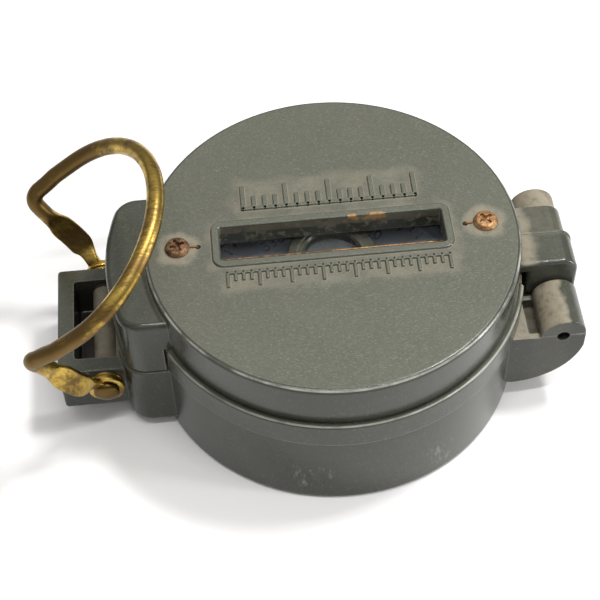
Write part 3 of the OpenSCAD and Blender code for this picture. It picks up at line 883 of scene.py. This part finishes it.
def sweep_round(points, r, steps=12):
    """A round wire through points given in millimetres."""
    rings = []
    for i, p in enumerate(points):
        ahead = (Vector(points[min(i + 1, len(points) - 1)]) - Vector(points[max(i - 1, 0)])).normalized()
        side = ahead.cross(Vector((0, 1, 0))).normalized()
        other = ahead.cross(side)
        turns = [2 * pi * k / steps for k in range(steps)]
        rings.append([Vector(p) + side * (r * cos(t)) + other * (r * sin(t)) for t in turns])
    return loft(rings)


def build_sight_wire():
    top_z = LID_TOP + WIRE_R + 0.02
    end_x = SCREW_X - SCREW_R - 0.1
    down_x = WIRE_X + 0.1
    bend = 0.25
    half = [(end_x, 0, top_z), (down_x + bend, 0, top_z), (down_x + 0.07, 0, top_z - 0.08),
            (down_x, 0, top_z - bend), (down_x, 0, WIRE_Z + bend), (down_x - 0.07, 0, WIRE_Z + 0.08),
            (down_x - bend, 0, WIRE_Z)]
    other = [(-x, y, z) for x, y, z in reversed(half)]
    wire = sweep_round(half + other, WIRE_R)
    piece(wire, "hair_wire", "lid", "copper", ("sight_wire",), 60)


def build_screws():
    """Two pan-head screws with a worn cross recess, each turned its own way."""
    stem_r = 0.9
    stem_low = -3.0
    cross = rounded_rect(2.15, 0.52, 0.2, 4)
    profile = [(0, SCREW_H)]
    profile += arc(SCREW_R - 0.62, SCREW_H - 0.5, 0.5, 90, 35, 5)
    profile += [(SCREW_R - 0.05, 0.3), (SCREW_R, 0.2), (SCREW_R - 0.06, 0.03), (stem_r, 0),
                (stem_r, stem_low), (0, stem_low)]
    dimple = [(0, 0.12), (0.35, 0.12), (0.62, SCREW_H + 0.1), (0, SCREW_H + 0.1)]
    parts = []
    for side, turn in ((-1, 20), (1, 35)):
        head = revolve(profile, 48)
        for k in (0, 90):
            arm = prism(cross, SCREW_H - 0.55, 2.0, 0.12)
            arm.data.transform(Matrix.Rotation(radians(turn + k), 4, "Z"))
            cut(head, arm)
        cut(head, revolve(dimple, 24))
        head.data.transform(Matrix.Translation(Vector((side * SCREW_X, 0, LID_TOP)) * MM))
        parts.append(head)
    piece(join(parts), "wire_screws", "lid", "copper", ("sight_screws",))


# ---- Case ----


def case_cup():
    profile = [(0, FLOOR_T), (BORE_R - 0.4, FLOOR_T), (BORE_R, FLOOR_T + 0.4), (BORE_R, LEDGE_Z - 0.15),
               (BORE_R + 0.15, LEDGE_Z), (CASE_R - 0.1, LEDGE_Z), (CASE_R, LEDGE_Z - 0.1)]
    edge = 0.9
    profile += arc(CASE_R - edge, edge, edge, 0, -90, 6) + [(0, 0)]
    return revolve(profile, 224)


def rim_band(start, end):
    """The thicker band under the rim, from one angle to another, with rounded ends."""
    foot = CASE_R - 0.6
    section = [(foot, BAND_LOW), (BAND_R - 0.1, BAND_LOW), (BAND_R, BAND_LOW + 0.12)]
    section += arc(BAND_R - 0.32, RIM_TOP - 0.32, 0.32, 0, 90, 5)
    section += arc(BAND_R - 0.57, RIM_TOP - 0.08, 0.08, 90, 180, 2)
    section += [(BAND_R - 0.65, LEDGE_Z - 0.3), (foot, LEDGE_Z - 0.3)]
    steps = 110
    mid_z = (BAND_LOW + RIM_TOP) / 2
    rings = []
    for i in range(steps + 1):
        angle = start + (end - start) * i / steps
        from_end = radians(min(angle - start, end - angle)) * BAND_R
        soft = min(1.0, from_end / 0.7)
        swell = sqrt(max(0.0, 1 - (1 - soft) ** 2))
        a = radians(angle)
        ring = []
        for r, z in section:
            out = foot + (r - foot) * (0.62 + 0.38 * swell)
            up = mid_z + (z - mid_z) * (0.86 + 0.14 * swell)
            ring.append((out * cos(a), out * sin(a), up))
        rings.append(ring)
    return loft(rings)


def hinge_lug(y0, y1):
    """A knuckle on a curved bracket, with a shallow pocket between the case and the knuckle."""
    inner = BORE_R - 4
    drop = 0.6
    reach = 10.0
    rim = 0.9
    depth = 2
    outline = [(inner, HINGE_Z), (inner, HINGE_Z - drop - reach + 0.8)]
    outline += arc(BORE_R, HINGE_Z - drop, reach, -90, -11.5, 20)
    outline += [(HINGE_X + KNUCKLE_R, HINGE_Z)]
    bracket = prism(outline, y0, y1, 0.2, 0.2, along_y)
    cut(bracket, block((CASE_R - 0.3, y0 + rim, HINGE_Z - depth), (HINGE_X, y1 - rim, HINGE_Z + 1), 0.2))
    return add(bracket, rod_y(HINGE_X, HINGE_Z, KNUCKLE_R, y0, y1, 0.3, 72))


def case_frame():
    """Open frame that holds the eyepiece's barrel."""
    return block((-FRAME_OUT, -FRAME_HALF, FRAME_LOW), (-CASE_R + 1.5, FRAME_HALF, FRAME_TOP), 0.35)


def build_case():
    case = case_cup()
    near, far, tab = (degrees(asin(y / BAND_R)) for y in (*BAND_GAP, TAB_HALF + 0.3))
    add(case, rim_band(180 + tab, 360 + near))
    add(case, rim_band(far, 180 - tab))
    add(case, prism(tab_outline(TAB_R + 0.3, TAB_HALF + 0.2, TAB_CORNER), TAB_LOW, SEAM_Z, 1.3, 0.25))
    add(case, case_frame())
    # a pad under the leaf joins the two lugs
    pad_x = (25.5, 30.4)
    pad_z = (5.2, 10.95)
    add(case, block((pad_x[0], NEAR_LUG[1] - 0.5, pad_z[0]), (pad_x[1], FAR_LUG[0] + 0.5, pad_z[1])))
    for lug in (NEAR_LUG, FAR_LUG):
        add(case, hinge_lug(*lug))
    cut(case, pillar(BORE_R, FLOOR_T, THROUGH))
    trough = block((-TAB_R - 1, -TROUGH_HALF, TROUGH_Z), (-5, TROUGH_HALF, SEAM_Z + 1))
    cut(trough, pillar(CASE_R, 0, THROUGH))
    cut(case, trough)
    half = FRAME_HALF - FRAME_WALL
    window = block((-FRAME_OUT + FRAME_WALL, -half, FRAME_LOW + 1.2), (-TAB_R + 0.6, half, 20), 0.3)
    cut(window, prism(tab_outline(TAB_R + 0.3, TAB_HALF, TAB_CORNER), -5, TROUGH_Z))
    cut(case, window)
    hollow = prism(tab_outline(TAB_R + 0.3 - TAB_WALL, TAB_HALF - TAB_WALL, TAB_CORNER - TAB_WALL),
                   -2, TROUGH_Z - 1.5)
    cut(hollow, pillar(CASE_R, -5, THROUGH))
    cut(case, hollow)
    bore(case, HINGE_X, HINGE_Z, PIN_R)
    bore(case, PIVOT_X, PIVOT_Z, AXLE_R)
    piece(case, "case_shell", "case", "case", ("base_case",))


# ---- Thumb ring and its pin ----


def superellipse(width, thick, power, steps=24):
    """Outline between an ellipse (power 2) and a flat rounded bar (power 4 or more)."""
    outline = []
    for i in range(steps):
        t = 2 * pi * i / steps
        c, s = cos(t), sin(t)
        u = width / 2 * copysign(abs(c) ** (2 / power), c)
        v = thick / 2 * copysign(abs(s) ** (2 / power), s)
        outline.append((u, v))
    return outline


def on_pivot(centre_y, out=1):
    """Places a shape turned round the Z axis on the pivot instead, whose axis runs along Y."""
    return lambda x, y, z: (PIVOT_X + x, centre_y + out * z, PIVOT_Z + y)


def smooth(t):
    t = max(0.0, min(1.0, t))
    return t * t * (3 - 2 * t)


def ring_path():
    """Centre line of the wire from one eyelet to the other, with the section at each point:
    (point, width, thickness, power, twist)."""
    foot = Vector((PIVOT_X, EYE_Y, PIVOT_Z))
    bend = Vector((KINK.x, RING_HALF, KINK.z))
    leg = bend - foot
    loop_dir = Vector((cos(LOOP_TILT), 0, sin(LOOP_TILT)))
    stations = []
    full = (WIRE_DIA, WIRE_DIA, 2)
    leg_twist = radians(26)
    bend_r = 1.7
    length = leg.length
    # s runs along the leg: a flat eyelet, a twisted blade, then the round wire
    for i in range(27):
        s = 1.9 + (length - bend_r - 1.9) * i / 26
        blade = smooth((s - 3.0) / 2.6) * (1 - smooth((s - 9.4) / 3.8))
        wire = smooth((s - 11.2) / 2.2)
        width = 2.0 + 1.6 * blade + (WIRE_DIA - 2.0) * wire
        thick = 1.0 + (WIRE_DIA - 1.0) * wire
        power = 6 - 4 * wire
        twist = leg_twist * smooth((s - 2.0) / 2.5)
        bow = LEG_BOW * smooth((s - 2.2) / 2.6) * (1 - smooth((s - 6.5) / 8))
        stations.append((foot + leg * (s / length) + Vector((0, bow, 0)), width, thick, power, twist))
    first = bend + loop_dir * 3.2 + Vector((0, LOOP_R - RING_HALF, 0))
    to_first = (first - bend).normalized()
    before = bend - leg.normalized() * bend_r
    after = bend + to_first * bend_r
    for i in range(1, 8):
        t = i / 8
        p = before * (1 - t) ** 2 + bend * (2 * t * (1 - t)) + after * t ** 2
        stations.append((p, *full, leg_twist))
    stations.append((after, *full, 0))
    centre = Vector((KINK.x, 0, KINK.z)) + loop_dir * LOOP_SIDE
    for s in (3.4, 5.2, 7.1):
        widen = smooth(s / 5.5)
        y = RING_HALF + (LOOP_R - RING_HALF) * widen
        stations.append((Vector((KINK.x, y, KINK.z)) + loop_dir * s, *full, 0))
    for i in range(25):
        a = pi / 2 * i / 24
        p = centre + Vector((0, LOOP_R * cos(a), 0)) + loop_dir * (LOOP_R * sin(a))
        stations.append((p, *full, 0))
    mirrored = [(Vector((p.x, -p.y, p.z)), w, t, n, -twist) for p, w, t, n, twist in reversed(stations[:-1])]
    return stations + mirrored


def build_ring():
    stations = ring_path()
    rings = []
    thin = Vector((0, 1, 0))
    for i, (p, width, thick, power, twist) in enumerate(stations):
        before = stations[max(i - 1, 0)][0]
        after = stations[min(i + 1, len(stations) - 1)][0]
        ahead = (after - before).normalized()
        thin = (thin - ahead * thin.dot(ahead)).normalized()
        across = thin.cross(ahead)
        turn = Matrix.Rotation(twist, 3, ahead)
        u, v = turn @ across, turn @ thin
        rings.append([p + u * a + v * b for a, b in superellipse(width, thick, power)])
    ring = loft(rings)
    eye = ring_section(AXLE_R + 0.05, EYE_R, -EYE_T / 2, EYE_T / 2, 0.1, 0.25)
    for side in (-1, 1):
        add(ring, revolve(eye, 56, on_pivot(side * EYE_Y)))
    piece(ring, "ring_wire", "ring", "brass", ("thumb_ring",), 40)


def build_pivot_pin():
    head_y = EYE_Y + EYE_T / 2 + 0.1
    top = rivet_hi.y - head_y
    head_r = rivet_hi.z - PIVOT_Z
    pin = rod_y(PIVOT_X, PIVOT_Z, AXLE_R, -head_y - 0.05, head_y + 0.05, steps=40)
    edge = 0.22
    profile = [(0, 0), (head_r - 0.1, 0), (head_r, 0.1), (head_r, edge)]
    profile += [(head_r * cos(t), edge + (top - edge) * sin(t)) for t in (0.3, 0.6, 0.9, 1.15, 1.35)]
    profile += [(0, top)]
    for side in (-1, 1):
        add(pin, revolve(profile, 48, on_pivot(side * head_y, side)))
    piece(pin, "pivot_rivet", "case", "rivet", ("pivot_pin",))


def build_washers():
    half = 0.2
    mid_y = washers_hi.y - half
    outer = washers_hi.z - PIVOT_Z
    profile = [(AXLE_R + 0.05, -half), (outer - 0.1, -half), (outer, -half + 0.1), (outer, half - 0.1),
               (outer - 0.1, half), (AXLE_R + 0.05, half)]
    parts = [revolve(profile, 48, on_pivot(side * mid_y)) for side in (-1, 1)]
    piece(join(parts), "eyelet_washers", "case", "brass", ("ring_washers",))


# ---- Eyepiece, bezel and dial ----


def build_eyepiece():
    top = arm_hi.z
    reach = 6.4
    rail_w = 1.8
    thick = 1.6
    back_x = -27.5
    barrel_r = 1.75
    barrel_half = 6.7
    head_low = top - 3.2
    arm = rod_y(PIVOT_X, PIVOT_Z, barrel_r, -barrel_half, barrel_half, 0.2, 40)
    add(arm, block((PIVOT_X + 0.4, -reach, PIVOT_Z - 1), (back_x, reach, PIVOT_Z + 0.8), 0.2))
    add(arm, block((back_x - thick, -reach, PIVOT_Z - 1), (back_x, reach, top), 0.3))
    for side in (-1, 1):
        mid = side * (reach - rail_w / 2)
        add(arm, block((back_x - thick + 0.3, mid - rail_w / 2, top - thick),
                       (0.5, mid + rail_w / 2, top), 0.3))
    cut(arm, pillar(LENS_R, 10, THROUGH, 96))
    add(arm, revolve(ring_section(LENS_R, arm_hi.x, head_low, top, 0.15, 0.35), 96))
    bore(arm, PIVOT_X, PIVOT_Z, AXLE_R + 0.05)
    piece(arm, "eyepiece_frame", "eyepiece", "dark", ("eyepiece_arm",))


def build_lens():
    mid = (lens_hi.z + lens_lo.z) / 2
    half = (lens_hi.z - lens_lo.z) / 2
    rim = 0.4
    steps = 10
    upper = [(LENS_R * i / steps, mid + rim + (half - rim) * (1 - (i / steps) ** 2))
             for i in range(steps + 1)]
    lower = [(r, 2 * mid - z) for r, z in reversed(upper)]
    lens = revolve(upper + lower, 96)
    piece(lens, "eyepiece_glass", "eyepiece", "lens", ("eyepiece_lens",), 60)
    low = lens_hi.z - 0.6
    top = arm_hi.z
    shape = ((0.7, low), (0.02, low), (0.02, top - 0.05), (0.15, top), (0.45, top - 0.02), (0.7, top - 0.35))
    ring = revolve([(LENS_R - inward, z) for inward, z in shape], 96)
    piece(ring, "lens_retainer", "eyepiece", "dark", ("lens_ring",))


def build_bezel():
    outer = bezel_hi.x
    grip = 24.3
    inner = crystal_hi.x
    low = bezel_lo.z
    top = bezel_hi.z
    shelf = crystal_lo.z
    groove = (16.1, 17.0)
    flange = 17.9
    profile = [(inner - 1.2, shelf), (inner - 1.2, low + 1.0), (inner + 0.3, low), (outer - 0.1, low),
               (outer, low + 0.1), (outer, groove[0]), (outer - 0.5, groove[0]), (outer - 0.5, groove[1]),
               (outer, groove[1]), (outer, flange - 0.1), (outer - 0.1, flange), (inner, flange),
               (inner, shelf)]
    body = revolve(profile, 192)
    flutes = 40
    flute_depth = 0.38
    outline = []
    for i in range(flutes * 12):
        a = 2 * pi * i / (flutes * 12)
        wave = max(0.0, cos(a * flutes)) ** 2
        r = grip - flute_depth * wave
        outline.append((r * cos(a), r * sin(a)))
    grip_ring = prism(outline, flange - 0.1, top, 0, 0.25)
    cut(grip_ring, pillar(inner, 10, THROUGH, 192))
    add(body, grip_ring)
    piece(body, "bezel_grip", "bezel", "dark", ("bezel_ring",))


def build_crystal():
    r = crystal_hi.x - 0.02
    low, top = crystal_lo.z, crystal_hi.z
    disc = revolve([(0, top), (r - 0.25, top), (r, top - 0.25), (r, low), (0, low)])
    piece(disc, "bezel_window", "bezel", "crystal", ("bezel_crystal",))


def build_dial_scale():
    """Degree marks and numbers on the dial, as thin raised print."""
    top = card_hi.z
    rim = card_hi.x
    parts = []
    for i in range(72):
        tall = 2.4 if i % 6 == 0 else (1.7 if i % 2 == 0 else 1.1)
        bar = prism(rounded_rect(tall, 0.28, 0.05, 2, (rim - 0.5 - tall / 2, 0)), top, top + 0.06)
        bar.data.transform(Matrix.Rotation(radians(5 * i), 4, "Z"))
        parts.append(bar)
    for i in range(12):
        text = bpy.data.curves.new("number", "FONT")
        text.body = str(i * 30)
        text.size = 2.6 * MM
        text.align_x = text.align_y = "CENTER"
        text.extrude = 0.03 * MM
        holder = scene_object("number", text)
        mesh = baked(holder)
        bpy.data.objects.remove(holder)
        angle = radians(90 - 30 * i)
        reach = (rim - 5.0) * MM
        place = (reach * cos(angle), reach * sin(angle), (top + 0.03) * MM)
        mesh.transform(Matrix.Translation(place) @ Matrix.Rotation(angle - pi / 2, 4, "Z"))
        parts.append(scene_object("number", mesh))
    piece(join(parts), "dial_print", "dial", "mark")


def finish_inner_nodes():
    """The hidden CAD nodes keep their shapes and get materials."""
    finishes = {
        "hinge_pin": ("steel", 0.1), "capsule_pad": ("rubber", 0.1), "capsule_cup": ("steel", 0.1),
        "capsule_gasket": ("rubber", 0.05), "capsule_glass": ("glass", 0.1), "index_line": ("mark", 0),
        "pivot_post": ("brass", 0.05), "clamp_ring": ("aluminium", 0.1), "bezel_snap_ring": ("steel", 0.05),
        "click_spring": ("brass", 0.03), "dial_card": ("dial", 0), "north_arrow": ("glow", 0),
        "dial_magnets": ("magnet", 0.15), "dial_hub": ("brass", 0.08), "dial_jewel": ("jewel", 0.08),
        "marching_line": ("glow", 0),
    }
    for node, (finish, edge) in finishes.items():
        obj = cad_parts[node]
        dress(obj.data, FINISHES[finish][0], 30)
        if edge:
            bevel = obj.modifiers.new("edge", "BEVEL")
            bevel.width = edge * MM
            bevel.segments = 2
            bevel.limit_method = "ANGLE"
            bevel.angle_limit = radians(50)


# ---- Camera, floor and light ----


def build_camera():
    azimuth = radians(-3.73)
    elevation = radians(52.57)
    roll = radians(-2.14)
    distance = 0.22338
    target = Vector((-4.83, -0.02, 12.0)) * MM
    back = Vector((sin(azimuth) * cos(elevation), -cos(azimuth) * cos(elevation), sin(elevation)))
    right = Vector((0, 0, 1)).cross(back).normalized()
    up = back.cross(right)
    rolled_right = right * cos(roll) + up * sin(roll)
    rolled_up = up * cos(roll) - right * sin(roll)
    camera = scene_object("camera", bpy.data.cameras.new("camera"))
    camera.data.sensor_width = 36
    camera.data.lens = 90.99
    camera.data.clip_start = 0.01
    turn = Matrix((rolled_right, rolled_up, back)).transposed().to_4x4()
    camera.matrix_world = Matrix.Translation(target + back * distance) @ turn
    bpy.context.scene.camera = camera


def area_light(name, position, size, power):
    """A white rectangular light aimed at the middle of the case; its sizes are in metres."""
    light = bpy.data.lights.new(name, "AREA")
    light.shape = "RECTANGLE"
    light.size, light.size_y = size
    light.energy = power
    holder = scene_object(name, light)
    holder.location = position
    aim = Vector((0, 0, 0.01)) - holder.location
    holder.rotation_euler = aim.to_track_quat("-Z", "Y").to_euler()


def build_stage():
    s = Shade("floor_white")
    s.set(color=s.mix(s.noise(0.02, 2), (0.76, 0.755, 0.745), (0.80, 0.795, 0.79)), roughness=0.6)
    half = 1.5
    mesh = bpy.data.meshes.new("floor")
    corners = [(-half, -half, 0), (half, -half, 0), (half, half, 0), (-half, half, 0)]
    mesh.from_pydata(corners, [], [(0, 1, 2, 3)])
    mesh.materials.append(s.material)
    scene_object("floor", mesh)
    world = bpy.data.worlds.new("studio")
    bpy.context.scene.world = world
    world.use_nodes = True
    nodes, links = world.node_tree.nodes, world.node_tree.links
    sky = nodes["Background"]
    sky.inputs["Color"].default_value = (1.0, 0.99, 0.97, 1)
    # brighter overhead than at the horizon, like a room with a white ceiling
    direction = nodes.new("ShaderNodeTexCoord")
    parts = nodes.new("ShaderNodeSeparateXYZ")
    ramp = nodes.new("ShaderNodeMapRange")
    links.new(direction.outputs["Generated"], parts.inputs[0])
    links.new(parts.outputs[2], ramp.inputs["Value"])
    links.new(ramp.outputs[0], sky.inputs["Strength"])
    for key, value in (("From Min", 0.1), ("From Max", 0.9), ("To Min", 0.09), ("To Max", 0.76)):
        ramp.inputs[key].default_value = value
    area_light("key", (0.21, 0.08, 0.52), (0.10, 0.06), 2.1)
    area_light("top", (0.02, -0.14, 0.55), (0.36, 0.02), 1.3)
    area_light("side", (0.42, -0.14, 0.12), (0.06, 0.24), 1.3)
    area_light("front", (0.03, -0.34, 0.50), (0.20, 0.03), 0.2)
    bpy.context.scene.view_settings.view_transform = "Standard"


build_camera()
build_stage()
build_lid()
build_sight_wire()
build_screws()
build_case()
build_ring()
build_pivot_pin()
build_washers()
build_eyepiece()
build_lens()
build_bezel()
build_crystal()
build_dial_scale()
finish_inner_nodes()
